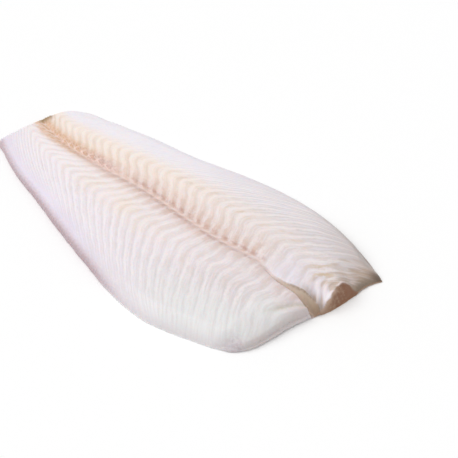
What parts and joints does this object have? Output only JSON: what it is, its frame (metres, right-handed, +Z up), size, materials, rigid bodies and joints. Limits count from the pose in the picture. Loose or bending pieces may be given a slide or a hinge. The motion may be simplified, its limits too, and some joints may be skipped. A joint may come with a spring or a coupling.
{
  "type": "sole fillet",
  "caption": "Raw skinless double fillet of sole lying flat: two ribbed lobes along a centre line, a narrow tail cut and a wide head cut with a cleft.",
  "frame": {"origin": "middle of the outline's box, on the flat underside that lies on the table", "axes": "+X along the fillet from the tail cut to the head cut, +Y towards the far lobe, +Z up from the underside"},
  "size_m": [0.26, 0.1354, 0.0131],
  "materials": {
    "flesh": "wet raw fish flesh, pale pink-white, with fine W-shaped muscle bands and a brown centre line"
  },
  "bodies": {
    "root": {"fillet": "flesh"}
  },
  "joints": []
}
